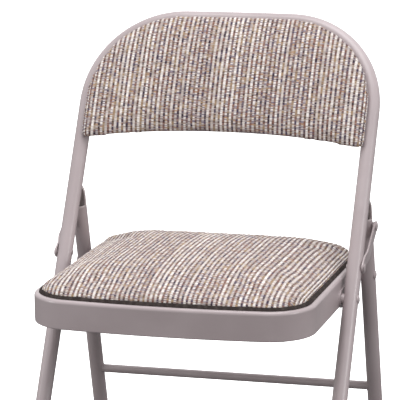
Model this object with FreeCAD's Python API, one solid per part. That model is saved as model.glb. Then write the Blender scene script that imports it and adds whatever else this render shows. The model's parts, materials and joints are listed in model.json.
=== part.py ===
import FreeCAD, Part
import math
import os
from FreeCAD import Placement, Rotation, Vector

# Padded steel folding chair, in millimetres, standing open on the floor.
# X is the chair's width, +Y points to its back and +Z is up. The origin is on the
# floor, in the middle of the chair's footprint.
#
# The linkage on each side is a four-bar: the seat turns on the front frame at pivot A,
# the rear leg turns on the seat at B, and a strap joins the rear leg (C) to the front
# frame (D). Pivots are given in the front frame's own plane, as (n, u): n is backwards
# across the front tube and u is upwards along it, both from pivot A.

# --- driving dimensions ---------------------------------------------------------------
TUBE_R = 11.1            # 7/8 inch round tube
TUBE_WALL = 1.2
TRACK = 441.0            # distance between the left and right tube axes, front and rear
FRONT_LEAN = 29.0        # front tube from the vertical, top backwards
REAR_LEAN = 15.3         # rear leg from the vertical, foot backwards
TOP_HEIGHT = 775.0       # highest point of the front frame
PIVOT_A_HEIGHT = 391.4
PIVOT_A_Y = -4.6         # keeps the origin in the middle of the footprint
PIVOT_D_U = 48.2
PIVOT_B_N, PIVOT_B_U = 97.5, 66.6
FOLDED_N = 24.0          # rear leg axis behind the front tube axis when folded
BEND_R = 143.0           # corner bends of the front frame
RAIL_BOW = 3.5           # degrees that each corner bend sweeps backwards
RAIL_RISE = 2.0          # degrees that it also sweeps upwards, so the rail's bow is level

BRACE_R = 6.4
FRONT_BRACE_HEIGHT = 78.0
REAR_BRACE_HEIGHT = 218.5

SEAT_TILT = 1.0          # rear edge of the seat higher
PAN_WIDTH = 410.0
PAN_FRONT, PAN_REAR = -215.7, 184.0       # seat edges, along the seat from pivot A
PAN_ABOVE_A = 30.2       # top of the pan above pivot A
PAN_DEPTH = 42.3
PAN_CORNER_R = 66.0
PAN_SHEET = 1.5
PAN_RIM = 8.0            # flange turned inwards round the top
PAN_HEM = 13.0           # flange turned inwards round the bottom
FRONT_BOW = 7.0          # bulge of the seat's front edge

BOARD_T = 5.0
BOARD_INSET = 11.0
CLIP_T = 1.8
CLIP_LENGTH = 20.0
CUSHION_INSET = 9.0
CUSHION_T = 28.5
CUSHION_ROUND = 12.0

PAD_BOTTOM_U = 227.0     # bottom corners of the back pad
PAD_ARCH = 18.0          # rise of the pad's bottom edge at the middle
PAD_T = 15.0
PAD_EDGE_INSET = 2.0     # pad outline inside the tube axis
PANEL_T = 1.6

STRAP_T = 2.5
STRAP_HALF_WIDTH = 8.0
STRAP_JOGGLE = 2.6
PIN_R = 3.95
HOLE_R = 4.0
GAP = 0.3                # running gap between parts that slide past each other
HEAD_R = 6.5
HEAD_T = 2.2

GUARD_LENGTH = 37.0
CAP_WALL = 1.6
CAP_HEIGHT = 30.0
TUBE_END_HEIGHT = 10.0   # height of the tube's axis where it ends inside its foot

# --- worked out -----------------------------------------------------------------------
HALF = TRACK / 2.0
OUTER_X = HALF + TUBE_R
SPREAD = math.radians(FRONT_LEAN + REAR_LEAN)


def strap_mismatch(leg_bc):
    """Strap length needed when open, less the one needed when folded."""
    c_open = (PIVOT_B_N - leg_bc * math.sin(SPREAD), PIVOT_B_U + leg_bc * math.cos(SPREAD))
    b_folded_u = -math.sqrt(PIVOT_B_N ** 2 + PIVOT_B_U ** 2 - FOLDED_N ** 2)
    opened = math.hypot(c_open[0], c_open[1] - PIVOT_D_U)
    folded = math.hypot(FOLDED_N, b_folded_u + leg_bc - PIVOT_D_U)
    return opened - folded


def solve_leg_bc():
    """Leg length between B and C for which the chair folds exactly flat, by bisection."""
    low, high = 60.0, 100.0
    for _ in range(60):
        middle = (low + high) / 2.0
        if strap_mismatch(middle) < 0:
            low = middle
        else:
            high = middle
    return low


LEG_BC = solve_leg_bc()
PIVOT_C = (PIVOT_B_N - LEG_BC * math.sin(SPREAD), PIVOT_B_U + LEG_BC * math.cos(SPREAD))
STRAP_LENGTH = math.hypot(PIVOT_C[0], PIVOT_C[1] - PIVOT_D_U)
STRAP_TURN = math.degrees(math.atan2(PIVOT_C[0], PIVOT_C[1] - PIVOT_D_U))

X_AXIS = Vector(1, 0, 0)
Z_AXIS = Vector(0, 0, 1)
A_POINT = Vector(0, PIVOT_A_Y, PIVOT_A_HEIGHT)
FRONT = Placement(A_POINT, Rotation(X_AXIS, -FRONT_LEAN))
SEAT = Placement(A_POINT, Rotation(X_AXIS, SEAT_TILT))
B_POINT = FRONT.multVec(Vector(0, PIVOT_B_N, PIVOT_B_U))
REAR = Placement(B_POINT, Rotation(X_AXIS, REAR_LEAN))
D_POINT = FRONT.multVec(Vector(0, 0, PIVOT_D_U))
STRAP = Placement(D_POINT, Rotation(X_AXIS, -FRONT_LEAN - STRAP_TURN))
COS_FRONT = math.cos(math.radians(FRONT_LEAN))
COS_REAR = math.cos(math.radians(REAR_LEAN))
RAIL_END_N = BEND_R * math.tan(math.radians(RAIL_BOW))
RAIL_U = (TOP_HEIGHT - TUBE_R - PIVOT_A_HEIGHT + RAIL_END_N * math.sin(math.radians(FRONT_LEAN))) / COS_FRONT
FRONT_END_U = (TUBE_END_HEIGHT - PIVOT_A_HEIGHT) / COS_FRONT
REAR_END_Z = (TUBE_END_HEIGHT - B_POINT.z) / COS_REAR
LEG_TOP_Z = LEG_BC + 11.0


# --- helpers --------------------------------------------------------------------------
def placed(shape, placement):
    """A copy of the shape moved from its own frame to the chair's."""
    moved = shape.copy()
    moved.Placement = placement.multiply(moved.Placement)
    return moved


def mirrored(shape):
    return shape.mirror(Vector(0, 0, 0), X_AXIS)


def rod(radius, start, end):
    """Solid cylinder between two points."""
    return Part.makeCylinder(radius, (end - start).Length, start, end - start)


def cross_pin(radius, x_start, x_end, y=0.0, z=0.0):
    """Cylinder across the chair."""
    return rod(radius, Vector(x_start, y, z), Vector(x_end, y, z))


def domed_head(x_start, radius=HEAD_R, height=HEAD_T, y=0.0, z=0.0, sign=1.0):
    """Rivet head: flat towards the tube, domed outwards along sign * X."""
    rise = height * 0.55
    ball_r = (radius ** 2 + rise ** 2) / (2.0 * rise)
    base = height - rise
    centre = Vector(x_start + sign * (height - ball_r), y, z)
    ball = Part.makeSphere(ball_r, centre)
    disc = cross_pin(radius, x_start, x_start + sign * (base + rise), y, z)
    return disc.common(ball.fuse(cross_pin(radius, x_start, x_start + sign * base, y, z)))


def rounded_rectangle(x_half, y_low, y_high, radius, bow=0.0):
    """Closed wire in the XY plane; bow bulges its front (low Y) edge outwards."""
    r = radius
    k = r * (1.0 - math.sqrt(0.5))
    left, right = -x_half, x_half
    edges = [
        Part.Arc(Vector(left, y_low + r, 0), Vector(left + k, y_low + k, 0),
                 Vector(left + r, y_low, 0)).toShape(),
        Part.Arc(Vector(right - r, y_low, 0), Vector(right - k, y_low + k, 0),
                 Vector(right, y_low + r, 0)).toShape(),
        Part.makeLine(Vector(right, y_low + r, 0), Vector(right, y_high - r, 0)),
        Part.Arc(Vector(right, y_high - r, 0), Vector(right - k, y_high - k, 0),
                 Vector(right - r, y_high, 0)).toShape(),
        Part.makeLine(Vector(right - r, y_high, 0), Vector(left + r, y_high, 0)),
        Part.Arc(Vector(left + r, y_high, 0), Vector(left + k, y_high - k, 0),
                 Vector(left, y_high - r, 0)).toShape(),
        Part.makeLine(Vector(left, y_high - r, 0), Vector(left, y_low + r, 0)),
    ]
    start, end = Vector(left + r, y_low, 0), Vector(right - r, y_low, 0)
    if bow > 0.0:
        front = Part.Arc(start, Vector(0, y_low - bow, 0), end).toShape()
    else:
        front = Part.makeLine(start, end)
    edges.insert(1, front)
    return Part.Wire(edges)


def slab(wire, z_low, z_high):
    """Prism of a wire drawn in the XY plane."""
    face = Part.Face(wire)
    face.translate(Vector(0, 0, z_low))
    return face.extrude(Vector(0, 0, z_high - z_low))


def seat_outline(inset, y_rear=PAN_REAR):
    """The seat's outline drawn in by an inset, at pivot A's level."""
    return rounded_rectangle(PAN_WIDTH / 2.0 - inset, PAN_FRONT + inset, y_rear - inset,
                             PAN_CORNER_R - inset, FRONT_BOW)


# --- front frame ----------------------------------------------------------------------
def rail_path():
    """Centreline of the front frame: two legs, two corner bends and a bowed top rail."""
    along = Vector(-1.0, math.tan(math.radians(RAIL_BOW)), math.tan(math.radians(RAIL_RISE)))
    along.normalize()
    turn = math.acos(along.z)
    across = Vector(along.x, along.y, 0)
    across.normalize()
    bend_start = Vector(HALF, 0, RAIL_U - BEND_R * math.sin(turn))

    def on_bend(angle):
        return bend_start + across * (BEND_R * (1.0 - math.cos(angle))) + Z_AXIS * (BEND_R * math.sin(angle))

    def other(point):
        return Vector(-point.x, point.y, point.z)

    foot = Vector(HALF, 0, FRONT_END_U)
    bend_middle, bend_end = on_bend(turn / 2.0), on_bend(turn)
    rise = math.tan(math.asin(math.hypot(along.y, along.z)) / 2.0) * bend_end.x
    bow = Vector(0, along.y, along.z)
    rail_middle = Vector(0, bend_end.y, bend_end.z) + bow * (rise / bow.Length)
    edges = [
        Part.makeLine(foot, bend_start),
        Part.Arc(bend_start, bend_middle, bend_end).toShape(),
        Part.Arc(bend_end, rail_middle, other(bend_end)).toShape(),
        Part.Arc(other(bend_end), other(bend_middle), other(bend_start)).toShape(),
        Part.makeLine(other(bend_start), other(foot)),
    ]
    return Part.Wire(edges)


def swept(path, radius):
    """Round bar of one radius along a path that starts upwards."""
    start = path.Edges[0].Vertexes[0].Point
    circle = Part.Wire(Part.makeCircle(radius, start, Z_AXIS))
    return path.makePipeShell([circle], True, True)


def front_tube():
    path = rail_path()
    shape = swept(path, TUBE_R).cut(swept(path, TUBE_R - TUBE_WALL))
    for side in (-1.0, 1.0):
        for u in (0.0, PIVOT_D_U):
            shape = shape.cut(cross_pin(HOLE_R, side * (HALF - 15.0), side * (HALF + 15.0), 0, u))
    return shape


def brace_between(z, radius=BRACE_R):
    """Round cross brace whose ends are shaped to the legs they are welded to."""
    bar = cross_pin(radius, -HALF, HALF, 0, z)
    for side in (-1.0, 1.0):
        x = side * HALF
        bar = bar.cut(rod(TUBE_R, Vector(x, 0, z - 40.0), Vector(x, 0, z + 40.0)))
    return bar


def foot_cap(axis_end):
    """Plastic foot over a tube's end, in the leg's frame, with its sole cut level."""
    x = HALF
    outer = rod(TUBE_R + CAP_WALL, Vector(x, 0, axis_end - 25.0), Vector(x, 0, axis_end + CAP_HEIGHT))
    edge = [e for e in outer.Edges if abs(e.BoundBox.ZMin - (axis_end + CAP_HEIGHT)) < 0.01
            and e.BoundBox.ZLength < 0.01]
    outer = outer.makeFillet(1.2, edge)
    return outer.cut(rod(TUBE_R, Vector(x, 0, axis_end), Vector(x, 0, axis_end + CAP_HEIGHT + 5.0)))


def level_cut(shape):
    """Cut everything below the floor, on a shape in the chair's frame."""
    box = shape.BoundBox
    floor = Part.makeBox(box.XLength + 20.0, box.YLength + 20.0, 60.0,
                         Vector(box.XMin - 10.0, box.YMin - 10.0, -60.0))
    return shape.cut(floor)


# --- back rest ------------------------------------------------------------------------
def bowed_section(n_front, n_back):
    """Plan section of the back: flat sloping sides and a round middle, like the top rail."""
    bow = math.radians(RAIL_BOW)
    rail_x = HALF - BEND_R * math.cos(bow)
    slope = math.tan(bow)
    edge_x = HALF + 6.0

    def points(n):
        side_n = n + slope * (HALF - rail_x)
        middle_n = side_n + rail_x * math.tan(bow / 2.0)
        return Vector(edge_x, n - slope * (edge_x - HALF), 0), Vector(rail_x, side_n, 0), \
            Vector(0, middle_n, 0)

    def line_arc_line(n):
        outer, inner, middle = points(n)
        outer_l, inner_l = Vector(-outer.x, outer.y, 0), Vector(-inner.x, inner.y, 0)
        edges = [Part.makeLine(outer_l, inner_l), Part.Arc(inner_l, middle, inner).toShape(),
                 Part.makeLine(inner, outer)]
        return edges, outer_l, outer

    front, front_l, front_r = line_arc_line(n_front)
    back, back_l, back_r = line_arc_line(n_back)
    edges = front + [Part.makeLine(front_r, back_r)] + back + [Part.makeLine(back_l, front_l)]
    return Part.Wire(Part.__sortEdges__(edges))


def back_outline(inset, low_u, arch, low_r):
    """Outline of the back rest across the frame: it follows the tube's two bends."""
    half = HALF - PAD_EDGE_INSET - inset
    top = RAIL_U - PAD_EDGE_INSET - inset
    r = BEND_R - PAD_EDGE_INSET - inset
    k = r * (1.0 - math.sqrt(0.5))
    c = low_r * (1.0 - math.sqrt(0.5))
    rise = math.tan(math.radians(RAIL_RISE) / 2.0) * (half - r)

    def at(x, u):
        return Vector(x, 0, u)

    edges = [
        Part.Arc(at(-half + low_r, low_u), at(0, low_u + arch), at(half - low_r, low_u)).toShape(),
        Part.Arc(at(half - low_r, low_u), at(half - c, low_u + c), at(half, low_u + low_r)).toShape(),
        Part.makeLine(at(half, low_u + low_r), at(half, top - r)),
        Part.Arc(at(half, top - r), at(half - k, top - k), at(half - r, top)).toShape(),
        Part.Arc(at(half - r, top), at(0, top + rise), at(-half + r, top)).toShape(),
        Part.Arc(at(-half + r, top), at(-half + k, top - k), at(-half, top - r)).toShape(),
        Part.makeLine(at(-half, top - r), at(-half, low_u + low_r)),
        Part.Arc(at(-half, low_u + low_r), at(-half + c, low_u + c),
                 at(-half + low_r, low_u)).toShape(),
    ]
    return Part.Wire(edges)


def back_layer(n_front, n_back, inset, low_u):
    """Bowed layer of the back rest between two depths, trimmed to an outline."""
    section = Part.Face(bowed_section(n_front, n_back))
    section.translate(Vector(0, 0, low_u - 20.0))
    prism = section.extrude(Vector(0, 0, RAIL_U - low_u + 60.0))
    outline = Part.Face(back_outline(inset, low_u, PAD_ARCH, 12.0))
    outline.translate(Vector(0, -90.0, 0))
    shape = prism.common(outline.extrude(Vector(0, 180.0, 0)))
    for side in (-1.0, 1.0):
        for u in TAB_LEVELS:
            hole = rod(2.0, Vector(0, -PANEL_T - 6.0, 0), Vector(0, 3.0, 0))
            shape = shape.cut(placed(hole, tab_frame(side, u)))
    return shape


PANEL_BACK_N = -TUBE_R - GAP
PANEL_FRONT_N = PANEL_BACK_N - PANEL_T
PAD_FRONT_N = PANEL_FRONT_N - PAD_T
TAB_LEVELS = (PAD_BOTTOM_U + 32.0, RAIL_U - BEND_R - 4.0)
TAB_X_IN, TAB_X_OUT = 186.0, HALF - TUBE_R + 1.0
SCREW_X = 195.0


def tab_frame(side, u):
    """Frame of one panel tab: on the panel's sloping back face at one height."""
    slope = Rotation(Z_AXIS, -side * RAIL_BOW)
    n = PANEL_BACK_N + math.tan(math.radians(RAIL_BOW)) * (HALF - SCREW_X)
    return Placement(Vector(side * SCREW_X, n, u), slope)


def back_tabs():
    """Four small tabs welded inside the tube, which the panel is screwed to."""
    solids = []
    tube = swept(rail_path(), TUBE_R)
    for side in (-1.0, 1.0):
        for u in TAB_LEVELS:
            inner, outer = (TAB_X_IN - SCREW_X, TAB_X_OUT - SCREW_X + 4.0)
            x_low = inner if side > 0 else -outer
            tab = Part.makeBox(outer - inner, 2.0, 18.0, Vector(x_low, 0.0, -9.0))
            hole = rod(2.1, Vector(0, -5.0, 0), Vector(0, 8.0, 0))
            solids.append(placed(tab.cut(hole), tab_frame(side, u)).cut(tube))
    return Part.makeCompound(solids)


def back_screws():
    """Pan-head screws through the tabs into the panel and the pad's backing."""
    solids = []
    for side in (-1.0, 1.0):
        for u in TAB_LEVELS:
            shank = rod(2.0, Vector(0, -PANEL_T - 6.0, 0), Vector(0, 2.0, 0))
            head = rod(4.5, Vector(0, 2.0, 0), Vector(0, 4.4, 0))
            rim = [e for e in head.Edges if e.BoundBox.YMin > 4.3]
            head = head.makeFillet(1.4, rim)
            solids.append(placed(shank.fuse(head), tab_frame(side, u)))
    return Part.makeCompound(solids)


# --- seat -----------------------------------------------------------------------------
def seat_pan():
    """Pressed steel hoop: a band with a flange turned inwards at its top and bottom."""
    top = PAN_ABOVE_A
    low = top - PAN_DEPTH
    outer = slab(seat_outline(0.0), low, top)
    upper = [e for e in outer.Edges if e.BoundBox.ZMin > top - 0.01]
    outer = outer.makeFillet(5.0, upper)
    lower = [e for e in outer.Edges if e.BoundBox.ZMax < low + 0.01]
    outer = outer.makeFillet(2.0, lower)
    cavity = slab(seat_outline(PAN_SHEET), low + PAN_SHEET, top - PAN_SHEET)
    cavity_top = [e for e in cavity.Edges if e.BoundBox.ZMin > top - PAN_SHEET - 0.01]
    cavity = cavity.makeFillet(3.5, cavity_top)
    shape = outer.cut(cavity)
    shape = shape.cut(slab(seat_outline(PAN_RIM), top - 10.0, top + 10.0))
    shape = shape.cut(slab(seat_outline(PAN_HEM), low - 10.0, low + 10.0))
    for side in (-1.0, 1.0):
        for y, z in pivot_places():
            shape = shape.cut(cross_pin(HOLE_R, side * 190.0, side * 215.0, y, z))
        for y, z in bracket_rivet_places():
            shape = shape.cut(cross_pin(2.4, side * 190.0, side * 215.0, y, z))
    return shape


def seat_local(point):
    """A chair-frame point in the seat's own frame."""
    return SEAT.inverse().multVec(point)


def pivot_places():
    b = seat_local(B_POINT)
    return ((0.0, 0.0), (b.y, b.z))


def bracket_rivet_places():
    b = seat_local(B_POINT)
    return ((b.y * 0.36, b.z * 0.36 + 2.0), (b.y * 0.68, b.z * 0.68 + 2.0))


BRACKET_T = 2.2
BRACKET_HALF = 13.0
BRACKET_X = PAN_WIDTH / 2.0


def bracket():
    """Side plate riveted to the pan, which carries both seat pivots."""
    x = BRACKET_X
    b = seat_local(B_POINT)
    ends = [cross_pin(BRACKET_HALF, x, x + BRACKET_T, y, z) for y, z in pivot_places()]
    length = math.hypot(b.y, b.z)
    web = Part.makeBox(BRACKET_T, length, 2.0 * BRACKET_HALF, Vector(0, 0, -BRACKET_HALF))
    web = placed(web, Placement(Vector(x, 0, 0), Rotation(X_AXIS, math.degrees(math.atan2(b.z, b.y)))))
    shape = ends[0].fuse([ends[1], web]).removeSplitter()
    for y, z in pivot_places():
        shape = shape.cut(cross_pin(HOLE_R, x - 5.0, x + 8.0, y, z))
    for y, z in bracket_rivet_places():
        shape = shape.cut(cross_pin(2.4, x - 5.0, x + 8.0, y, z))
    return shape


def bracket_rivets():
    """Two small rivets each side that hold the bracket to the pan."""
    solids = []
    for side in (-1.0, 1.0):
        for y, z in bracket_rivet_places():
            inner = BRACKET_X - PAN_SHEET
            shank = cross_pin(2.4, side * inner, side * (BRACKET_X + BRACKET_T), y, z)
            shop = cross_pin(4.0, side * (inner - 1.2), side * inner, y, z)
            head = cross_pin(3.8, side * (BRACKET_X + BRACKET_T), side * (BRACKET_X + BRACKET_T + 0.9), y, z)
            solids.append(shank.fuse([shop, head]))
    return Part.makeCompound(solids)


def board_low():
    """The board's underside is level with the underside of the pan's top flange."""
    return PAN_ABOVE_A - PAN_SHEET


def seat_board():
    low = board_low()
    board = slab(seat_outline(BOARD_INSET), low, low + BOARD_T)
    for x, y in board_screw_places():
        board = board.cut(rod(1.9, Vector(x, y, low - 1.0), Vector(x, y, low + BOARD_T + 1.0)))
    return board


def board_screw_places():
    return [(x, y) for x in (-150.0, 150.0) for y in (PAN_FRONT + 80.0, PAN_REAR - 80.0)]


def board_clips():
    """Steel tabs welded under the pan's top flange, on which the board rests."""
    solids = []
    high = board_low()
    for x, y in board_screw_places():
        side = math.copysign(1.0, x)
        x_far = side * (PAN_WIDTH / 2.0 - PAN_SHEET - 4.0)
        x_near = x - side * 9.0
        corner = Vector(min(x_near, x_far), y - CLIP_LENGTH / 2.0, high - CLIP_T)
        clip = Part.makeBox(abs(x_far - x_near), CLIP_LENGTH, CLIP_T, corner)
        solids.append(clip.cut(rod(1.9, Vector(x, y, high - 10.0), Vector(x, y, high + 10.0))))
    return Part.makeCompound(solids)


def board_screws():
    """Screws up through the tabs into the seat board."""
    solids = []
    under = board_low() - CLIP_T
    for x, y in board_screw_places():
        shank = rod(1.85, Vector(x, y, under), Vector(x, y, board_low() + BOARD_T - 0.5))
        head = rod(4.2, Vector(x, y, under - 2.2), Vector(x, y, under))
        head = head.makeFillet(1.3, [e for e in head.Edges if e.BoundBox.ZMax < under - 2.1])
        solids.append(shank.fuse(head))
    return Part.makeCompound(solids)


def seat_cushion():
    """Upholstered pad: foam and cover over the board, wrapped down round its edges."""
    low = PAN_ABOVE_A + GAP
    board_top = board_low() + BOARD_T
    high = board_top + CUSHION_T
    shape = slab(seat_outline(CUSHION_INSET), low, high)
    top = [e for e in shape.Edges if e.BoundBox.ZMin > high - 0.01]
    shape = shape.makeFillet(CUSHION_ROUND, top)
    return shape.cut(slab(seat_outline(BOARD_INSET), low - 1.0, board_top))


# --- rear legs ------------------------------------------------------------------------
def rear_leg():
    bottom, top = Vector(HALF, 0, REAR_END_Z), Vector(HALF, 0, LEG_TOP_Z)
    inside = Vector(0, 0, 1)
    shape = rod(TUBE_R, bottom, top)
    shape = shape.cut(rod(TUBE_R - TUBE_WALL, bottom - inside, top + inside))
    return shape.cut(cross_pin(HOLE_R, HALF - 15.0, HALF + 15.0))


def leg_guard():
    """Half shell with a round top, plugged into the leg, that bears behind the front tube."""
    start = LEG_TOP_Z + 0.2
    end = start + GUARD_LENGTH
    shoulder = end - 17.0
    wall = 1.3

    def thimble(radius, low, tip):
        """Solid of revolution with an elliptical top, about the leg's axis."""
        height = tip - shoulder
        ball = Part.makeSphere(radius)
        squash = FreeCAD.Matrix()
        squash.scale(1.0, 1.0, height / radius)
        dome = ball.transformGeometry(squash)
        dome.translate(Vector(HALF, 0, shoulder))
        return dome.fuse(rod(radius, Vector(HALF, 0, low), Vector(HALF, 0, shoulder)))

    shell = thimble(TUBE_R, start, end).cut(thimble(TUBE_R - wall, start - 1.0, end - wall))
    front = Part.makeBox(60.0, 40.0, GUARD_LENGTH + 20.0, Vector(HALF - 30.0, -42.0, start - 1.0))
    shell = shell.cut(front)
    spigot_r = TUBE_R - TUBE_WALL - 0.1
    spigot = rod(spigot_r, Vector(HALF, 0, start - 9.0), Vector(HALF, 0, start + 1.5))
    spigot = spigot.cut(rod(spigot_r - 1.5, Vector(HALF, 0, start - 10.0), Vector(HALF, 0, start + 3.0)))
    ring = rod(TUBE_R, Vector(HALF, 0, start), Vector(HALF, 0, start + 1.5))
    ring = ring.cut(rod(spigot_r - 1.5, Vector(HALF, 0, start - 1.0), Vector(HALF, 0, start + 3.0)))
    shape = placed(shell.fuse([spigot, ring]), REAR)
    tube_space = rod(TUBE_R + 0.6, Vector(HALF, 0, 60.0), Vector(HALF, 0, 260.0))
    in_front = Part.makeBox(60.0, 60.0, 200.0, Vector(HALF - 30.0, -60.0, 60.0))
    return shape.cut(placed(tube_space.fuse(in_front), FRONT))


# --- pivots ---------------------------------------------------------------------------
def pivot_rivet(tube_half_length=40.0):
    """Rivet through tube, spacer, bracket and pan wall, about a leg's own pivot."""
    inner = BRACKET_X - PAN_SHEET
    tube = rod(TUBE_R, Vector(HALF, 0, -tube_half_length), Vector(HALF, 0, tube_half_length))
    shank = cross_pin(PIN_R, inner - GAP - 1.5, OUTER_X)
    shop = cross_pin(HEAD_R, inner - GAP - 1.8, inner - GAP)
    head = domed_head(OUTER_X - 1.6, HEAD_R, HEAD_T + 1.2).cut(tube)
    return shank.fuse([shop, head])


def pivot_spacer(tube_half_length=40.0):
    """Washer that holds the bracket off the tube, shaped to the tube on one side."""
    start = BRACKET_X + BRACKET_T + GAP
    washer = cross_pin(8.0, start, HALF - TUBE_R + 2.6)
    tube = rod(TUBE_R, Vector(HALF, 0, -tube_half_length), Vector(HALF, 0, tube_half_length))
    bore = cross_pin(HOLE_R, start - 1.0, HALF)
    return washer.cut(tube).cut(bore)


def strap():
    """Flat steel link with round ends, stepped outwards past the seat pivot's head."""
    x_low = OUTER_X + GAP
    w = STRAP_HALF_WIDTH
    end = STRAP_LENGTH + w
    profile = [(x_low, -w), (x_low + STRAP_T, -w), (x_low + STRAP_T, 14.0),
               (x_low + STRAP_T + STRAP_JOGGLE, 26.0), (x_low + STRAP_T + STRAP_JOGGLE, end),
               (x_low + STRAP_JOGGLE, end), (x_low + STRAP_JOGGLE, 27.0), (x_low, 15.0)]
    points = [Vector(x, -w, z) for x, z in profile]
    side = Part.Face(Part.makePolygon(points + points[:1]))
    plate = side.extrude(Vector(0, 2.0 * w, 0))
    outline = [cross_pin(w, x_low - 1.0, x_low + 8.0, 0, z) for z in (0.0, STRAP_LENGTH)]
    web = Part.makeBox(9.0, 2.0 * w, STRAP_LENGTH, Vector(x_low - 1.0, -w, 0))
    shape = plate.common(outline[0].fuse([outline[1], web]))
    for z in (0.0, STRAP_LENGTH):
        shape = shape.cut(cross_pin(HOLE_R, x_low - 2.0, x_low + 9.0, 0, z))
    return shape


def strap_lower_rivet():
    """Rivet through the front tube, on which the strap turns."""
    x_strap = OUTER_X + GAP + STRAP_T
    shank = cross_pin(PIN_R, HALF - TUBE_R - 0.5, x_strap + GAP + 0.5)
    shop = domed_head(HALF - TUBE_R + 1.6, HEAD_R, HEAD_T + 1.0, sign=-1.0)
    shop = shop.cut(rod(TUBE_R, Vector(HALF, 0, -40.0), Vector(HALF, 0, 40.0)))
    head = domed_head(x_strap + GAP)
    return shank.fuse([shop, head])


def strap_upper_rivet():
    """Rivet at the strap's top with its spacer collar, ending just short of the leg."""
    x_low = OUTER_X + GAP
    shank = cross_pin(PIN_R, x_low, x_low + STRAP_JOGGLE + STRAP_T + 0.2)
    collar = cross_pin(HEAD_R, x_low, x_low + STRAP_JOGGLE)
    head = domed_head(x_low + STRAP_JOGGLE + STRAP_T)
    return shank.fuse([collar, head])


# --- build ----------------------------------------------------------------------------
def front_place(u):
    """Frame at a height along the front tube."""
    return FRONT.multiply(Placement(Vector(0, 0, u), Rotation()))


def build():
    nodes = {
        "front_frame_tube": placed(front_tube(), FRONT),
        "front_cross_brace": placed(brace_between((FRONT_BRACE_HEIGHT - PIVOT_A_HEIGHT) / COS_FRONT),
                                    FRONT),
        "back_panel": placed(back_layer(PANEL_FRONT_N, PANEL_BACK_N, 2.0, PAD_BOTTOM_U + 2.0), FRONT),
        "back_pad": placed(back_layer(PAD_FRONT_N, PANEL_FRONT_N, 0.0, PAD_BOTTOM_U), FRONT),
        "back_panel_tabs": placed(back_tabs(), FRONT),
        "back_panel_screws": placed(back_screws(), FRONT),
        "seat_pan": placed(seat_pan(), SEAT),
        "seat_board": placed(seat_board(), SEAT),
        "seat_board_clips": placed(board_clips(), SEAT),
        "seat_board_screws": placed(board_screws(), SEAT),
        "seat_cushion": placed(seat_cushion(), SEAT),
        "bracket_rivets": placed(bracket_rivets(), SEAT),
        "rear_cross_brace": placed(brace_between((REAR_BRACE_HEIGHT - B_POINT.z) / COS_REAR), REAR),
    }
    sided = {
        "front_foot": level_cut(placed(foot_cap(FRONT_END_U), FRONT)),
        "seat_pivot_rivet": placed(pivot_rivet(), FRONT),
        "seat_pivot_spacer": placed(pivot_spacer(), FRONT),
        "strap_lower_rivet": placed(strap_lower_rivet(), front_place(PIVOT_D_U)),
        "seat_bracket": placed(bracket(), SEAT),
        "rear_leg": placed(rear_leg(), REAR),
        "leg_guard": leg_guard(),
        "rear_foot": level_cut(placed(foot_cap(REAR_END_Z), REAR)),
        "leg_pivot_rivet": placed(pivot_rivet(), REAR),
        "leg_pivot_spacer": placed(pivot_spacer(), REAR),
        "link_strap": placed(strap(), STRAP),
        "strap_upper_rivet": placed(strap_upper_rivet(),
                                    STRAP.multiply(Placement(Vector(0, 0, STRAP_LENGTH), Rotation()))),
    }
    for name, shape in sided.items():
        nodes[name + "_right"] = shape
        nodes[name + "_left"] = mirrored(shape)
    return nodes


def main():
    os.makedirs("parts", exist_ok=True)
    whole = FreeCAD.BoundBox()
    for name, shape in build().items():
        shape.exportStep(os.path.join("parts", name + ".step"))
        whole.add(shape.optimalBoundingBox(False))
        solids = len(shape.Solids)
        print(f"{name:26s} solids {solids} valid {shape.isValid()} volume {shape.Volume:10.0f}")
    print("size", whole)
    print("leg BC", LEG_BC, "strap", STRAP_LENGTH, "C", PIVOT_C)


main()
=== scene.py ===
import json
import math

import bpy
import numpy as np
from mathutils import Matrix, Vector


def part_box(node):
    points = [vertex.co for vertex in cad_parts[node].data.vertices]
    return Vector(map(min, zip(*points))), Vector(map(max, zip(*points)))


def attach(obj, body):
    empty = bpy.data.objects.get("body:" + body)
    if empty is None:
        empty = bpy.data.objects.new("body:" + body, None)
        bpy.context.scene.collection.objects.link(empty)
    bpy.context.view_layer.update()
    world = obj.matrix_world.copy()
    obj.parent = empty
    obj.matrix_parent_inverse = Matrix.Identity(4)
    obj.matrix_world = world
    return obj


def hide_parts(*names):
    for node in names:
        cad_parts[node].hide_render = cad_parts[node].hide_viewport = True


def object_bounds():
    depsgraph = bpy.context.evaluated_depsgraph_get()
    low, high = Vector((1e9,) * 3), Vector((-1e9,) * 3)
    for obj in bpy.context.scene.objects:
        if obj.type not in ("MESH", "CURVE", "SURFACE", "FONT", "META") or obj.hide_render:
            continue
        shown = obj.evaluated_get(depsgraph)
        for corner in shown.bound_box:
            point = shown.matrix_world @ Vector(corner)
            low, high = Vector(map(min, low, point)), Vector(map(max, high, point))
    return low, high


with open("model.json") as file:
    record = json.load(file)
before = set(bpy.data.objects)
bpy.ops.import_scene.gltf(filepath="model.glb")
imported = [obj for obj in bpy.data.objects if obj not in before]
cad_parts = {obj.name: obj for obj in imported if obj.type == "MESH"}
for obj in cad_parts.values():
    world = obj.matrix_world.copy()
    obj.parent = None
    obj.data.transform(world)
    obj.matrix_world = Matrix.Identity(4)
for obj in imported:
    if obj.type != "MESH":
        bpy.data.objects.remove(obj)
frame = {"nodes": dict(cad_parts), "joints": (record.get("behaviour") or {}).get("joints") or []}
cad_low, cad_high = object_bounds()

# --- Camera -----------------------------------------------------------------------------
# A long lens, a little above seat height and to the right of the chair's front. It looks
# past the front edge of the seat, so the lower legs run out of the picture.
VIEW_AZIMUTH, VIEW_ELEVATION, VIEW_ROLL = math.radians(15.78), math.radians(11.10), math.radians(-0.41)
VIEW_DISTANCE = 3.181
FOCAL_PER_WIDTH = 6.408
SENSOR_WIDTH = 36.0
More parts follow.
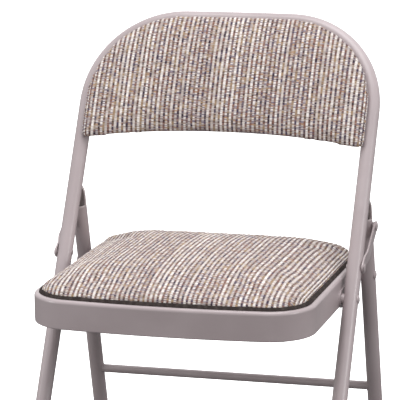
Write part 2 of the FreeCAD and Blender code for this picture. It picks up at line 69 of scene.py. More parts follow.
CHAIR_WIDTH = cad_high.x - cad_low.x
VIEW_TARGET = Vector((0.2945 * CHAIR_WIDTH, 2.197 * cad_low.y, 0.8143 * cad_high.z))


def add_camera():
    """Camera on the sphere about its target; its roll turns the right axis towards up."""
    back = Vector((math.sin(VIEW_AZIMUTH) * math.cos(VIEW_ELEVATION),
                   -math.cos(VIEW_AZIMUTH) * math.cos(VIEW_ELEVATION), math.sin(VIEW_ELEVATION)))
    level = Vector((0, 0, 1)).cross(back).normalized()
    upright = back.cross(level)
    right = level * math.cos(VIEW_ROLL) + upright * math.sin(VIEW_ROLL)
    up = back.cross(right)
    camera = bpy.data.objects.new("camera", bpy.data.cameras.new("camera"))
    bpy.context.scene.collection.objects.link(camera)
    camera.matrix_world = Matrix((right, up, back)).transposed().to_4x4()
    camera.location = VIEW_TARGET + back * VIEW_DISTANCE
    camera.data.sensor_width = SENSOR_WIDTH
    camera.data.lens = SENSOR_WIDTH * FOCAL_PER_WIDTH
    camera.data.clip_end = 60.0
    bpy.context.scene.camera = camera


add_camera()

# --- Studio -----------------------------------------------------------------------------
# A white floor under a sky that is bright overhead and dim below, with one big soft box
# overhead and a weaker one at each side of the chair. Colours stay plain, with no film curve.
SKY_STRENGTH = 1.3
SKY_STOPS = [(0.0, (0.10, 0.10, 0.10)), (0.44, (0.15, 0.15, 0.15)), (0.54, (0.60, 0.60, 0.60)),
             (0.75, (0.72, 0.72, 0.72)), (1.0, (0.95, 0.95, 0.95))]
FLOOR_SIZE = 60.0
SOFT_BOXES = (("top_light", (0.3, -0.3, 3.0), (0.0, 0.1, 0.4), 1.8, 36.0),
              ("right_light", (3.2, -0.9, 1.5), (0.0, 0.0, 0.5), 1.2, 24.0),
              ("left_light", (-2.8, -1.6, 1.1), (0.0, 0.1, 0.3), 0.9, 18.0))
bpy.context.scene.view_settings.view_transform = "Standard"


class Wave:
    """A shader value: wraps one output socket, and arithmetic on it adds Math nodes."""

    def __init__(self, tree, socket):
        self.tree, self.socket = tree, socket

    def node(self, kind, settings=None, stops=None, out=0, **inputs):
        """Adds any node: settings first, then ramp stops, then values or links by input name."""
        made = self.tree.nodes.new(kind)
        for key, value in (settings or {}).items():
            setattr(made, key, value)
        if stops:
            ramp = made.color_ramp.elements
            while len(ramp) < len(stops):
                ramp.new(0.5)
            for element, (place, colour) in zip(ramp, stops):
                element.position, element.color = place, (*colour, 1.0)
        for key, value in inputs.items():
            name = key.replace("_", " ")
            sockets = [s for s in made.inputs if s.enabled and s.name == name]
            target = sockets[0] if sockets else made.inputs[int(key[1:])]
            if isinstance(value, Wave):
                self.tree.links.new(value.socket, target)
            else:
                target.default_value = value
        return Wave(self.tree, made.outputs[out])

    def math(self, operation, *others):
        made = self.tree.nodes.new("ShaderNodeMath")
        made.operation = operation
        for target, value in zip(made.inputs, others):
            if isinstance(value, Wave):
                self.tree.links.new(value.socket, target)
            else:
                target.default_value = value
        return Wave(self.tree, made.outputs[0])

    def __add__(self, other):
        return self.math("ADD", self, other)

    def __sub__(self, other):
        return self.math("SUBTRACT", self, other)

    def __rsub__(self, other):
        return self.math("SUBTRACT", other, self)

    def __mul__(self, other):
        return self.math("MULTIPLY", self, other)

    def __truediv__(self, other):
        return self.math("DIVIDE", self, other)

    def __pow__(self, other):
        return self.math("POWER", self, other)

    __radd__, __rmul__ = __add__, __mul__

    def step(self, low, high):
        """Smooth step of this value between two limits."""
        return self.node("ShaderNodeMapRange", {"interpolation_type": "SMOOTHSTEP"},
                         Value=self, From_Min=low, From_Max=high)

    def mix(self, a, b):
        """Colour a where this value is 0 and colour b where it is 1."""
        made = self.tree.nodes.new("ShaderNodeMix")
        made.data_type = "RGBA"
        for target, value in zip((made.inputs[0], made.inputs[6], made.inputs[7]), (self, a, b)):
            if isinstance(value, Wave):
                self.tree.links.new(value.socket, target)
            else:
                target.default_value = (*value, 1.0)
        return Wave(self.tree, made.outputs[2])


def new_material(name, constants):
    """A Principled material with its constant values set; returns it, a start and the shader."""
    material = bpy.data.materials.new(name)
    material.use_nodes = True
    tree = material.node_tree
    shader = tree.nodes["Principled BSDF"]
    for key, value in constants.items():
        shader.inputs[key].default_value = value
    return material, Wave(tree, shader.outputs[0]), shader


def feed(shader, start, **links):
    """Links values to the shader's own sockets."""
    for key, value in links.items():
        start.tree.links.new(value.socket, shader.inputs[key.replace("_", " ")])


def place(start):
    """Object coordinates, in metres."""
    return start.node("ShaderNodeTexCoord", out=3)


def grain(start, at, scale, detail=2.0, rough=0.5):
    """Plain noise from 0 to 1; scale is in bumps per metre."""
    return start.node("ShaderNodeTexNoise", Vector=at, Scale=scale, Detail=detail, Roughness=rough)


def raised(start, height, depth, strength=1.0):
    """Bump from a height of 0 to 1, depth metres tall."""
    return start.node("ShaderNodeBump", Height=height, Distance=depth, Strength=strength)


def add_studio():
    world = bpy.data.worlds.new("studio")
    world.use_nodes = True
    sky = world.node_tree.nodes["Background"]
    sky.inputs["Strength"].default_value = SKY_STRENGTH
    start = Wave(world.node_tree, sky.outputs[0])
    aim = start.node("ShaderNodeTexCoord")
    upward = start.node("ShaderNodeSeparateXYZ", out=2, Vector=aim)
    colour = start.node("ShaderNodeValToRGB", stops=SKY_STOPS, Fac=0.5 + 0.5 * upward)
    world.node_tree.links.new(colour.socket, sky.inputs["Color"])
    bpy.context.scene.world = world
    half = FLOOR_SIZE / 2
    mesh = bpy.data.meshes.new("floor")
    mesh.from_pydata([(-half, -half, 0), (half, -half, 0), (half, half, 0), (-half, half, 0)],
                     [], [(0, 1, 2, 3)])
    floor = bpy.data.objects.new("floor", mesh)
    bpy.context.scene.collection.objects.link(floor)
    material, start, shader = new_material("floor_white", {
        "Base Color": (0.8, 0.8, 0.8, 1.0), "Roughness": 0.9,
        "Emission Color": (1.0, 1.0, 1.0, 1.0), "Emission Strength": 1.0})
    mesh.materials.append(material)
    floor.visible_diffuse = floor.visible_glossy = False
    for name, where, aim, size, power in SOFT_BOXES:
        lamp = bpy.data.lights.new(name, "AREA")
        lamp.size, lamp.energy = size, power
        holder = bpy.data.objects.new(name, lamp)
        bpy.context.scene.collection.objects.link(holder)
        holder.location = where
        holder.rotation_euler = (Vector(where) - Vector(aim)).to_track_quat("Z", "Y").to_euler()


add_studio()

# --- Steel frame ------------------------------------------------------------------------
# The tubes, braces, straps, brackets, seat hoop, back panel and rivets are mild steel,
# welded or riveted up and then dipped and baked in one coat of mauve-grey enamel.
PAINT = (0.415, 0.352, 0.362)
PAINT_SHADE = (0.365, 0.305, 0.313)
PAINTED = [name for name in frame["nodes"] if name.startswith((
    "front_frame", "front_cross", "back_panel", "seat_pan", "seat_bracket", "bracket_rivets",
    "rear_leg", "rear_cross", "link_strap", "strap_", "seat_pivot_rivet", "leg_pivot_rivet",
    "seat_board_clips", "seat_pivot_spacer", "leg_pivot_spacer")) and not name.endswith("screws")]


def enamel():
    """Baked enamel: faint cloudiness in tone, orange-peel surface and small scuffs."""
    material, start, shader = new_material("enamel", {
        "Roughness": 0.4, "Coat Weight": 0.3, "Coat Roughness": 0.17, "Specular IOR Level": 0.5})
    at = place(start)
    cloud = grain(start, at, 9.0, 3.0)
    speck = grain(start, at, 420.0, 2.0)
    scuff = grain(start, at, 60.0, 4.0, 0.7).step(0.66, 0.78)
    colour = cloud.step(0.3, 0.75).mix(PAINT_SHADE, PAINT)
    colour = (speck.step(0.62, 0.8) * 0.10).mix(colour, (0.50, 0.435, 0.445))
    peel = grain(start, at, 900.0, 1.0)
    feed(shader, start, Base_Color=colour, Roughness=0.30 + 0.10 * cloud + 0.12 * scuff,
         Normal=raised(start, peel + 0.6 * cloud, 0.00006))
    return material


def dress(names, material):
    """Gives every listed CAD node one material."""
    for name in names:
        mesh_slots = frame["nodes"][name].material_slots
        for mesh_slot in mesh_slots:
            mesh_slot.material = material


enamel_paint = enamel()
dress(PAINTED, enamel_paint)

# --- Weld beads -------------------------------------------------------------------------
# Each cross brace is brazed to the legs with a small fillet that follows the saddle where
# the brace's end meets the round leg. It is under the same enamel.
TUBE_R = 0.0111
BRACE_R = 0.0064
BEAD_R = 0.0015
HALF_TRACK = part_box("rear_leg_right")[1].x - TUBE_R


def mesh_piece(name, points, faces, material, smooth=True):
    """A mesh object at the origin, from an array of points and a list of faces."""
    mesh = bpy.data.meshes.new(name)
    mesh.from_pydata(points.reshape(-1, 3).tolist(), [], faces)
    mesh.validate()
    if smooth:
        mesh.shade_smooth()
    mesh.materials.append(material)
    piece = bpy.data.objects.new(name, mesh)
    bpy.context.scene.collection.objects.link(piece)
    return piece


def grid_faces(rows, columns, wrap_rows=False):
    """Quads of a grid of points whose columns close into rings."""
    last = rows if wrap_rows else rows - 1
    i, j = np.meshgrid(np.arange(last), np.arange(columns), indexing="ij")
    below, beside = (i + 1) % rows, (j + 1) % columns
    quads = [i * columns + j, i * columns + beside, below * columns + beside, below * columns + j]
    return np.stack(quads, axis=-1).reshape(-1, 4).tolist()


def weld_bead(side, lean, centre):
    """Torus bent to a saddle: its spine is where a cylinder of the brace's radius meets the
    leg, so x steps in by the leg radius less the leg's sagitta at each angle."""
    around, across = np.meshgrid(np.linspace(0, 2 * np.pi, 48, endpoint=False),
                                 np.linspace(0, 2 * np.pi, 12, endpoint=False), indexing="ij")
    lump = 1.0 + 0.18 * np.sin(5 * around + side) + 0.10 * np.sin(11 * around)
    ring = BRACE_R + BEAD_R * 0.35 * np.cos(across) * lump
    off_axis = ring * np.cos(around)
    x = HALF_TRACK - np.sqrt(TUBE_R ** 2 - off_axis ** 2) - BEAD_R * 0.55 * np.sin(across) * lump
    along = ring * np.sin(around) + 0.4 * BEAD_R * np.cos(across) * np.sin(around)
    off = off_axis + 0.4 * BEAD_R * np.cos(across) * np.cos(around)
    y = centre.y + off * math.cos(lean) + along * math.sin(lean)
    z = centre.z - off * math.sin(lean) + along * math.cos(lean)
    return np.stack([side * x, y, z], axis=-1)


joints = {joint["name"]: joint for joint in frame["joints"]}
PIVOT_A = Vector(joints["seat_fold"]["pos_m"])
PIVOT_B = Vector(joints["rear_leg_fold"]["pos_m"])
PIVOT_D = Vector(joints["strap_right_fold"]["pos_m"])
FRONT_LEAN = math.atan2(PIVOT_D.y - PIVOT_A.y, PIVOT_D.z - PIVOT_A.z)


def box_centre(node):
    low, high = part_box(node)
    return (Vector(low) + Vector(high)) / 2


def rear_lean():
    """Lean of the rear leg: brace centre against pivot B."""
    brace = box_centre("rear_cross_brace")
    return -math.atan2(brace.y - PIVOT_B.y, PIVOT_B.z - brace.z)


for body, brace, lean in (("front_frame", "front_cross_brace", FRONT_LEAN),
                          ("rear_legs", "rear_cross_brace", rear_lean())):
    for side_name, side in (("left", -1.0), ("right", 1.0)):
        points = weld_bead(side, lean, box_centre(brace))
        faces = grid_faces(48, 12, wrap_rows=True)
        if side > 0:
            faces = [face[::-1] for face in faces]
        bead = mesh_piece(f"{brace}_weld_{side_name}", points, faces, enamel_paint)
        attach(bead, body)

# --- Feet, guards, board and plated fastenings ------------------------------------------
# Moulded rubber feet, nylon guards plugged into the rear legs, a raw hardboard seat base,
# and zinc-plated screws.


def moulded(name, colour, light, roughness):
    """Moulded plastic or rubber: fine pebble grain and a little dust in its tone."""
    material, start, shader = new_material(name, {"Roughness": roughness})
    at = place(start)
    dust = grain(start, at, 45.0, 4.0).step(0.4, 0.75)
    pebble = start.node("ShaderNodeTexVoronoi", Vector=at, Scale=1400.0)
    feed(shader, start, Base_Color=dust.mix(colour, light), Roughness=roughness + 0.15 * dust,
         Normal=raised(start, pebble, 0.00008, 0.5))
    return material


def hardboard():
    """Pressed wood fibre: short random strands and dark flecks."""
    material, start, shader = new_material("hardboard", {"Roughness": 0.8})
    at = place(start)
    stretched = start.node("ShaderNodeMapping", Vector=at, Scale=(1.0, 0.22, 1.0))
    strand = grain(start, stretched, 520.0, 5.0, 0.75)
    blotch = grain(start, at, 14.0, 3.0)
    colour = strand.step(0.3, 0.7).mix((0.13, 0.072, 0.035), (0.30, 0.185, 0.10))
    colour = (blotch.step(0.45, 0.8) * 0.4).mix(colour, (0.22, 0.125, 0.066))
    feed(shader, start, Base_Color=colour, Roughness=0.72 + 0.2 * strand,
         Normal=raised(start, strand, 0.0002, 0.6))
    return material


def zinc():
    """Zinc plate: bright, with fine scratches and a dull bloom."""
    material, start, shader = new_material("zinc", {"Metallic": 1.0})
    at = place(start)
    bloom = grain(start, at, 300.0, 3.0)
    colour = bloom.step(0.3, 0.7).mix((0.46, 0.45, 0.42), (0.68, 0.67, 0.64))
    feed(shader, start, Base_Color=colour, Roughness=0.28 + 0.25 * bloom,
         Normal=raised(start, grain(start, at, 2500.0), 0.00003))
    return material


dress([n for n in frame["nodes"] if "_foot_" in n],
      moulded("foot_rubber", (0.20, 0.165, 0.17), (0.27, 0.235, 0.24), 0.62))
dress([n for n in frame["nodes"] if n.startswith("leg_guard")],
      moulded("guard_nylon", (0.47, 0.41, 0.41), (0.54, 0.48, 0.48), 0.42))
dress(["seat_board"], hardboard())
dress([n for n in frame["nodes"] if n.endswith("screws")], zinc())

# --- Upholstery fabric ------------------------------------------------------------------
# A chunky ribbed weave. Thick slubby cream ribs stand beside each other, some plain and
# some knotted with grey-violet and tan, with plum, rust and tan threads in the grooves; the grooves'
# near-black depth is partly painted shade.
RIB_PITCH = 0.0070
RIB_RELIEF = 0.0013
KNOT_PITCH = 0.0046
CREAM, IVORY, BEIGE = (0.66, 0.60, 0.57), (0.88, 0.84, 0.815), (0.37, 0.31, 0.285)
HEATHER, TAN = (0.155, 0.125, 0.185), (0.40, 0.235, 0.135)
PLUM_AND_SHADE, VIOLET = (0.036, 0.020, 0.034), (0.095, 0.072, 0.112)
RUST, OLIVE = (0.26, 0.125, 0.085), (0.34, 0.23, 0.14)


def ribbed_fabric():
    """Rib profile and knots from the piece's own weave attribute: x counts the ribs and y is
    metres along them. Each rib takes its random numbers from its index."""
    material, start, shader = new_material("ribbed_fabric", {
        "Roughness": 0.92, "Specular IOR Level": 0.15, "Sheen Weight": 0.15, "Sheen Roughness": 0.5})
    weave = start.node("ShaderNodeAttribute", {"attribute_name": "weave"}, out=1)
    ribs = start.node("ShaderNodeSeparateXYZ", Vector=weave)
    along = start.node("ShaderNodeSeparateXYZ", out=1, Vector=weave)
    index = start.math("FLOOR", ribs)
    inside = ribs - index
    chance = start.node("ShaderNodeTexWhiteNoise", {"noise_dimensions": "1D"}, W=index)
    other = start.node("ShaderNodeTexWhiteNoise", {"noise_dimensions": "1D"}, W=index + 0.5)
    flat = start.node("ShaderNodeCombineXYZ", X=ribs * RIB_PITCH, Y=along)
    lane = start.node("ShaderNodeCombineXYZ", X=index * 0.0437, Y=along)
    fray = grain(start, flat, 620.0, 2.0)
    crest = 1 - start.math("ABSOLUTE", 2 * inside - 1) ** 1.7 + 0.55 * (fray - 0.5)
    slub = grain(start, lane, 120.0, 3.0, 0.65)
    beat = along * (2 * math.pi / KNOT_PITCH) + 19.0 * chance + 26.0 * slub
    knot = 0.5 + 0.5 * start.math("SINE", beat)
    knotted = chance.step(0.20, 0.55)
    tone = grain(start, lane, 240.0, 1.0)
    dye = tone.step(0.46, 0.58).mix(HEATHER, TAN)
    rib = slub.step(0.38, 0.62).mix(CREAM, BEIGE)
    rib = (knot.step(0.35, 0.9) * 0.8 * other).mix(rib, IVORY)
    rib = ((1 - knot).step(0.45, 0.95) * knotted * 0.85).mix(rib, dye)
    seam = start.math("FLOOR", ribs + 0.5)
    thread_at = start.node("ShaderNodeCombineXYZ", X=seam * 0.0513, Y=along)
    thread = grain(start, thread_at, 85.0, 2.0)
    nub = grain(start, thread_at, 420.0, 1.0)
    # Groove colours: thread colours, made near-black in part as painted shade in the recess between ribs.
    groove_and_shade = start.node("ShaderNodeValToRGB", Fac=thread, stops=[
        (0.34, PLUM_AND_SHADE), (0.42, VIOLET), (0.49, RUST), (0.54, PLUM_AND_SHADE), (0.62, OLIVE)])
    groove_and_shade = (nub.step(0.48, 0.60) * 0.45).mix(groove_and_shade, BEIGE)
    groove_and_shade = (nub.step(0.58, 0.66) * 0.3).mix(groove_and_shade, CREAM)
    # Rib colour on the crests and groove colour down each rib's sides: the dark grooves are partly
    # painted shade.
    colour = crest.step(0.44, 0.88).mix(groove_and_shade, rib)
    colour = (fray.step(0.60, 0.75) * 0.25).mix(colour, PLUM_AND_SHADE)
    height = crest + 0.45 * crest * knot * knotted + 0.2 * fray
    feed(shader, start, Base_Color=colour, Roughness=0.86 + 0.1 * fray,
         Normal=raised(start, height, 0.0009, 0.9))
    return material


rib_cloth = ribbed_fabric()


def apply_last(piece):
    """Applies the piece's only modifier."""
    bpy.context.view_layer.objects.active = piece
    bpy.ops.object.modifier_apply(modifier=piece.modifiers[0].name)


def inflate(piece, voxel, pressure, cap, pinned, soften):
    """Cloth simulation: an even remesh, air pressure with no gravity, 20 steps, with no point
    moving further than cap and the pinned ones held, then smoothing and subdivision."""
    remesh = piece.modifiers.new("even", "REMESH")
    remesh.mode, remesh.voxel_size = "VOXEL", voxel
    apply_last(piece)
    mesh = piece.data
    start = np.empty(len(mesh.vertices) * 3)
    mesh.vertices.foreach_get("co", start)
    start = start.reshape(-1, 3)
    group = piece.vertex_groups.new(name="held")
    group.add(np.nonzero(pinned(start))[0].tolist(), 1.0, "REPLACE")
    cloth = piece.modifiers.new("cloth", "CLOTH")
    settings = cloth.settings
    settings.quality = 5
    settings.mass = 0.3
    settings.tension_stiffness = settings.compression_stiffness = 12.0
    settings.shear_stiffness = 4.0
    settings.bending_stiffness = 0.6
    settings.vertex_group_mass = group.name
    settings.use_pressure = True
    settings.uniform_pressure_force = pressure
    settings.effector_weights.gravity = 0.0
    for step in range(1, 21):
        bpy.context.scene.frame_set(step)
    swollen = piece.evaluated_get(bpy.context.evaluated_depsgraph_get()).data
    end = np.empty(len(swollen.vertices) * 3)
    swollen.vertices.foreach_get("co", end)
    piece.modifiers.clear()
    bpy.context.scene.frame_set(1)
    move = end.reshape(-1, 3) - start
    length = np.linalg.norm(move, axis=1, keepdims=True)
    shorter = cap * np.tanh(length / cap) / np.maximum(length, 1e-9)
    mesh.vertices.foreach_set("co", (start + move * shorter).ravel())
    piece.vertex_groups.clear()
    smooth = piece.modifiers.new("soften", "SMOOTH")
    smooth.factor, smooth.iterations = 0.5, soften
    apply_last(piece)
    finer = piece.modifiers.new("finer", "SUBSURF")
    finer.levels = finer.render_levels = 2
    apply_last(piece)
    piece.data.shade_smooth()


def weave_onto(piece, rule):
    """Stores the weave attribute that rule works out from points and normals, then raises
    each rib: a parabola across it, with a low swell along it, times rule's share."""
    mesh = piece.data
    points = np.empty(len(mesh.vertices) * 3)
    normals = np.empty(len(mesh.vertices) * 3)
    mesh.vertices.foreach_get("co", points)
    mesh.vertex_normals.foreach_get("vector", normals)
    points, normals = points.reshape(-1, 3), normals.reshape(-1, 3)
    across, along, share = rule(points, normals)
    ribs = across / RIB_PITCH
    ribs += 0.03 * np.sin(along * 47.0 + 0.9 * ribs) + 0.02 * np.sin(along * 131.0 + 2.3 * ribs)
    stored = mesh.attributes.new("weave", "FLOAT_VECTOR", "POINT")
    stored.data.foreach_set("vector", np.stack([ribs, along, share], axis=-1).ravel().astype(np.float32))
    inside = 2 * (ribs - np.floor(ribs)) - 1
    swell = 0.16 * np.sin(along * 2 * np.pi / KNOT_PITCH + 5.1 * np.floor(ribs))
    lift = RIB_RELIEF * share * ((1 - inside ** 2) * (1 + swell) - 0.5)
    mesh.vertices.foreach_set("co", (points + lift[:, None] * normals).ravel())
    mesh.update()


# --- Seat cushion -----------------------------------------------------------------------
# Foam on the hardboard, under the ribbed cover, which is drawn down and under all round.
# Its edge rolls over and tucks in. The dark line between cushion and hoop is partly that real shade and
# partly the near-black hem below, which is painted shade.
SEAT_TILT = math.radians(1.0)
SEAT_HALF, SEAT_FRONT, SEAT_REAR = 0.1962, -0.2070, 0.1745
SEAT_CORNER, SEAT_BOW = 0.0575, 0.0070
CUSHION_BASE, CUSHION_EDGE, CUSHION_CROWN = 0.0312, 0.0180, 0.0165
EDGE_ROLL = 0.0220
TUCK = 0.0040


def rounded_outline(count=360):
    """Seat outline as an array of points and outward normals: a rounded rectangle walked by
    equal lengths, with its front side bowed out as a parabola."""
    straight_x = SEAT_HALF - SEAT_CORNER
    front, rear = SEAT_FRONT + SEAT_CORNER, SEAT_REAR - SEAT_CORNER
    quarter = np.linspace(0, np.pi / 2, count // 8, endpoint=False)
    run = np.linspace(0, 1, count // 8, endpoint=False)[:, None]
    corners = [(straight_x, rear, 0.0), (-straight_x, rear, np.pi / 2),
               (-straight_x, front, np.pi), (straight_x, front, 1.5 * np.pi)]
    points, normals = [], []
    for k, (cx, cy, turn) in enumerate(corners):
        normal = np.stack([np.cos(quarter + turn), np.sin(quarter + turn)], axis=-1)
        points.append(np.array([cx, cy]) + SEAT_CORNER * normal)
        normals.append(normal)
        ahead = corners[(k + 1) % 4]
        out = np.array([math.cos(turn + np.pi / 2), math.sin(turn + np.pi / 2)])
        begin = np.array([cx, cy]) + SEAT_CORNER * out
        end = np.array(ahead[:2]) + SEAT_CORNER * out
        points.append(begin + (end - begin) * run)
        normals.append(np.broadcast_to(out, (len(run), 2)))
    points, normals = np.concatenate(points), np.concatenate(normals)
    bulge = np.where(points[:, 1] < front, 1.0 - (points[:, 0] / straight_x) ** 2, 0.0)
    share = (front - points[:, 1]) / SEAT_CORNER
    points[:, 1] -= SEAT_BOW * np.clip(bulge, 0, 1) * np.clip(share, 0, 1)
    return points, normals


def pillow(outline, normals, centre, base, edge, crown, roll, tuck):
    """Closed crowned form: flat bottom, a side that leans out from the tuck, an elliptical
    roll at the edge, and a top that rises as 1 - s to the power 2.2 towards the centre. The
    roll stops where its slope equals the top's. Returns plan points and heights as rings."""
    insets, heights, scales = [], [], []
    reach = np.abs(outline - centre).max(axis=0).min()
    roll_end = math.atan2(0.8 * reach, 2.2 * crown)
    for s in np.linspace(0.02, 1.0, 10):
        insets.append(tuck)
        heights.append(base)
        scales.append(s)
    for t in np.linspace(0, np.pi / 2, 7)[1:]:
        insets.append(tuck * (1 - np.sin(t)))
        heights.append(base + (edge - roll * 0.8) * (1 - np.cos(t)))
        scales.append(1.0)
    start = base + edge - roll * 0.8
    for t in np.linspace(0, roll_end, 12)[1:]:
        insets.append(roll * (1 - np.cos(t)))
        heights.append(start + 0.8 * roll * np.sin(t))
        scales.append(1.0)
    for s in np.linspace(1.0, 0.02, 32)[1:]:
        insets.append(roll * (1 - math.cos(roll_end)))
        heights.append(start + 0.8 * roll * math.sin(roll_end) + crown * (1 - s ** 2.2))
        scales.append(s)
    insets, heights, scales = np.array(insets), np.array(heights), np.array(scales)
    drawn_in = outline[None] - insets[:, None, None] * normals[None]
    plan = centre + (drawn_in - centre) * scales[:, None, None]
    return plan, np.broadcast_to(heights[:, None], plan.shape[:2])


def closed_faces(rows, columns):
    """Ring quads plus one cap face at each end."""
    faces = grid_faces(rows, columns)
    faces.append(list(range(columns))[::-1])
    faces.append([(rows - 1) * columns + j for j in range(columns)])
    return faces


def seat_to_chair(points):
    """Seat frame to chair frame: a turn by the seat's tilt about pivot A."""
    x, y, z = points[..., 0], points[..., 1], points[..., 2]
    c, s = math.cos(SEAT_TILT), math.sin(SEAT_TILT)
    return np.stack([x, PIVOT_A.y + c * y - s * z, PIVOT_A.z + s * y + c * z], axis=-1)


def chair_to_seat(points):
    c, s = math.cos(SEAT_TILT), math.sin(SEAT_TILT)
    y, z = points[..., 1] - PIVOT_A.y, points[..., 2] - PIVOT_A.z
    return np.stack([points[..., 0], c * y + s * z, -s * y + c * z], axis=-1)


def make_cushion():
    outline, normals = rounded_outline()
    centre = np.array([0.0, (SEAT_FRONT + SEAT_REAR) / 2])
    plan, heights = pillow(outline, normals, centre, CUSHION_BASE, CUSHION_EDGE, CUSHION_CROWN,
                           EDGE_ROLL, TUCK)
    points = seat_to_chair(np.concatenate([plan, heights[..., None]], axis=-1))
    piece = mesh_piece("seat_cushion_cover", points, closed_faces(*heights.shape), rib_cloth)

    def held(points):
        return chair_to_seat(points)[:, 2] < CUSHION_BASE + 0.003

    inflate(piece, 0.005, 4.0, 0.0055, held, 9)

    def rule(points, normals):
        """Across is x plus the drop down the side walls; along is y plus the drop in front."""
        local = chair_to_seat(points)
        drop = np.clip(CUSHION_BASE + CUSHION_EDGE - local[:, 2], 0, None)
        side = np.clip((np.abs(local[:, 0]) - SEAT_HALF + EDGE_ROLL) / EDGE_ROLL, 0, 1)
        across = local[:, 0] + np.sign(local[:, 0]) * drop * side ** 2
        along = local[:, 1] + np.sign(local[:, 1]) * drop * (1 - side)
        return across, along, np.clip((local[:, 2] - CUSHION_BASE - 0.001) / 0.005, 0, 1)

    weave_onto(piece, rule)
    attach(piece, "seat")
    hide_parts("seat_cushion")


make_cushion()

# --- Cover hem, a painted shadow gap ----------------------------------------------------
# A cambric strip stapled round the board's edge, coloured near-black as painted shade. It hides the joint
# between cushion and hoop, lies on the hoop's flange, and stands in for the shadow gap below the cushion.
SHADE_HEM_PROFILE = np.array([(-0.0080, 0.0338), (-0.0080, 0.0345), (-0.0010, 0.0345), (0.0018, 0.0312),
                        (0.0020, 0.0303), (-0.0020, 0.0303), (-0.0020, 0.0338)])


def shade_cambric():
    """Dull near-black cloth, painted shade for the gap below the cushion: a fine square weave with lint.
    """
    material, start, shader = new_material("shade_cambric", {"Roughness": 0.95, "Specular IOR Level": 0.1})
    at = place(start)
    lint = grain(start, at, 160.0, 3.0)
    thread = start.node("ShaderNodeTexVoronoi", Vector=at, Scale=1100.0)
    # Near-black base colour: painted shade standing in for the shadow gap round the cushion's foot.
    feed(shader, start, Base_Color=lint.step(0.35, 0.8).mix((0.030, 0.023, 0.022), (0.065, 0.052, 0.048)),
         Roughness=0.85 + 0.12 * lint, Normal=raised(start, thread, 0.0002, 0.6))
    return material


def make_shade_hem():
    outline, normals = rounded_outline()
    ring = outline[:, None] + SHADE_HEM_PROFILE[None, :, :1] * normals[:, None]
    heights = np.broadcast_to(SHADE_HEM_PROFILE[None, :, 1:], (*ring.shape[:2], 1))
    points = seat_to_chair(np.concatenate([ring, heights], axis=-1))
    faces = grid_faces(len(outline), len(SHADE_HEM_PROFILE), wrap_rows=True)
    shade_hem = mesh_piece("seat_shade_hem", points, faces, shade_cambric(), smooth=False)
    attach(shade_hem, "seat")


make_shade_hem()

# --- Back pad ---------------------------------------------------------------------------
# Thin foam under the same cover, on the front of the bowed steel panel. It follows the
# two bends of the tube, covers its inner half, and has a lower edge that arches up.
PAD_INSET = 0.0022
PAD_BOTTOM = 0.2235
PAD_ARCH = 0.0215
PAD_LOWER_CORNER = 0.012
BEND_R = 0.143
RAIL_BOW, RAIL_RISE = math.radians(3.5), math.radians(2.0)
PAD_BACK_DEPTH = 0.0130
PAD_EDGE, PAD_CROWN, PAD_ROLL, PAD_TUCK = 0.0090, 0.0060, 0.0085, 0.002


def in_front_frame(points):
    """Chair frame to front frame: x, n backwards across the tube, u up along it."""
    c, s = math.cos(FRONT_LEAN), math.sin(FRONT_LEAN)
    y, z = points[..., 1] - PIVOT_A.y, points[..., 2] - PIVOT_A.z
    return np.stack([points[..., 0], c * y - s * z, s * y + c * z], axis=-1)


def from_front_frame(x, n, u):
    c, s = math.cos(FRONT_LEAN), math.sin(FRONT_LEAN)
    return np.stack([x, PIVOT_A.y + c * n + s * u, PIVOT_A.z - s * n + c * u], axis=-1)


def bow_depth(x):
    """How far back the panel lies at x: straight sloping sides, parabolic middle."""
    rail_x = HALF_TRACK - BEND_R
    slope = math.tan(RAIL_BOW)
    outside = slope * (HALF_TRACK - np.abs(x))
    rise = rail_x * math.tan(RAIL_BOW / 2)
    inside = slope * BEND_R + rise * (1 - (x / rail_x) ** 2)
    return np.where(np.abs(x) > rail_x, outside, inside)


def rail_height():
    """Height u of the top rail's ends above pivot A: the frame's top less a tube radius."""
    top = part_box("front_frame_tube")[1].z - TUBE_R - PIVOT_A.z
    return (top + BEND_R * math.tan(RAIL_BOW) * math.sin(FRONT_LEAN)) / math.cos(FRONT_LEAN)


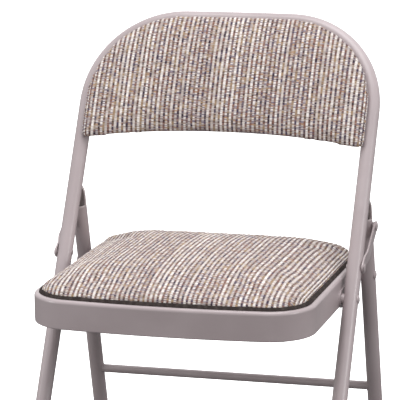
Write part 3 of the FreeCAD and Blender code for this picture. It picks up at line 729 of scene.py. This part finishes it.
def pad_outline():
    """Outline across the frame: bottom arch, small corners, straight sides, the two bends
    and the slightly arched top, each run walked in even steps."""
    half, top = HALF_TRACK - PAD_INSET, rail_height() - PAD_INSET
    bend = BEND_R - PAD_INSET
    low = PAD_LOWER_CORNER
    rise = math.tan(RAIL_RISE / 2) * (half - bend)
    parts, outs = [], []

    def arc(cx, cy, radius, begin, end, count):
        turn = np.linspace(begin, end, count, endpoint=False)
        normal = np.stack([np.cos(turn), np.sin(turn)], axis=-1)
        parts.append(np.array([cx, cy]) + radius * normal)
        outs.append(normal)

    def run(x0, y0, x1, y1, lift, count):
        t = np.linspace(0, 1, count, endpoint=False)
        hump = 4 * t * (1 - t)
        points = np.stack([x0 + (x1 - x0) * t, y0 + (y1 - y0) * t + lift * hump], axis=-1)
        direction = np.stack([np.full_like(t, x1 - x0), y1 - y0 + lift * 4 * (1 - 2 * t)], axis=-1)
        direction /= np.linalg.norm(direction, axis=1, keepdims=True)
        parts.append(points)
        outs.append(np.stack([direction[:, 1], -direction[:, 0]], axis=-1))

    run(-half + low, PAD_BOTTOM, half - low, PAD_BOTTOM, PAD_ARCH, 120)
    arc(half - low, PAD_BOTTOM + low, low, -np.pi / 2, 0, 14)
    run(half, PAD_BOTTOM + low, half, top - bend, 0.0, 20)
    arc(half - bend, top - bend, bend, 0, np.pi / 2, 60)
    run(half - bend, top, -half + bend, top, rise, 50)
    arc(-half + bend, top - bend, bend, np.pi / 2, np.pi, 60)
    run(-half, top - bend, -half, PAD_BOTTOM + low, 0.0, 20)
    arc(-half + low, PAD_BOTTOM + low, low, np.pi, 1.5 * np.pi, 14)
    return np.concatenate(parts), np.concatenate(outs)


def make_back_pad():
    outline, normals = pad_outline()
    low, high = outline[:, 1].min(), outline[:, 1].max()
    centre = np.array([0.0, low * 0.45 + high * 0.55])
    plan, heights = pillow(outline, normals, centre, 0.0, PAD_EDGE, PAD_CROWN, PAD_ROLL, PAD_TUCK)
    x, u = plan[..., 0], plan[..., 1]
    n = bow_depth(x) - PAD_BACK_DEPTH - heights
    points = from_front_frame(x, n, u)
    piece = mesh_piece("back_pad_cover", points, closed_faces(*heights.shape), rib_cloth)

    def held(points):
        local = in_front_frame(points)
        return local[:, 1] > bow_depth(local[:, 0]) - PAD_BACK_DEPTH - 0.0025

    inflate(piece, 0.0045, 4.0, 0.004, held, 4)

    def rule(points, normals):
        """Across is x plus the depth round the side edges; along is u plus that at the ends."""
        local = in_front_frame(points)
        depth = np.clip(local[:, 1] - bow_depth(local[:, 0]) + PAD_BACK_DEPTH + PAD_EDGE, 0, None)
        side = np.clip((np.abs(local[:, 0]) - HALF_TRACK + 2 * PAD_ROLL) / PAD_ROLL, 0, 1)
        across = local[:, 0] + np.sign(local[:, 0]) * depth * side
        along = local[:, 2] + np.sign(local[:, 2] - centre[1]) * depth * (1 - side)
        return across, along, np.clip((PAD_EDGE - depth - 0.0015) / 0.004, 0, 1)

    weave_onto(piece, rule)
    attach(piece, "front_frame")
    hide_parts("back_pad")


make_back_pad()
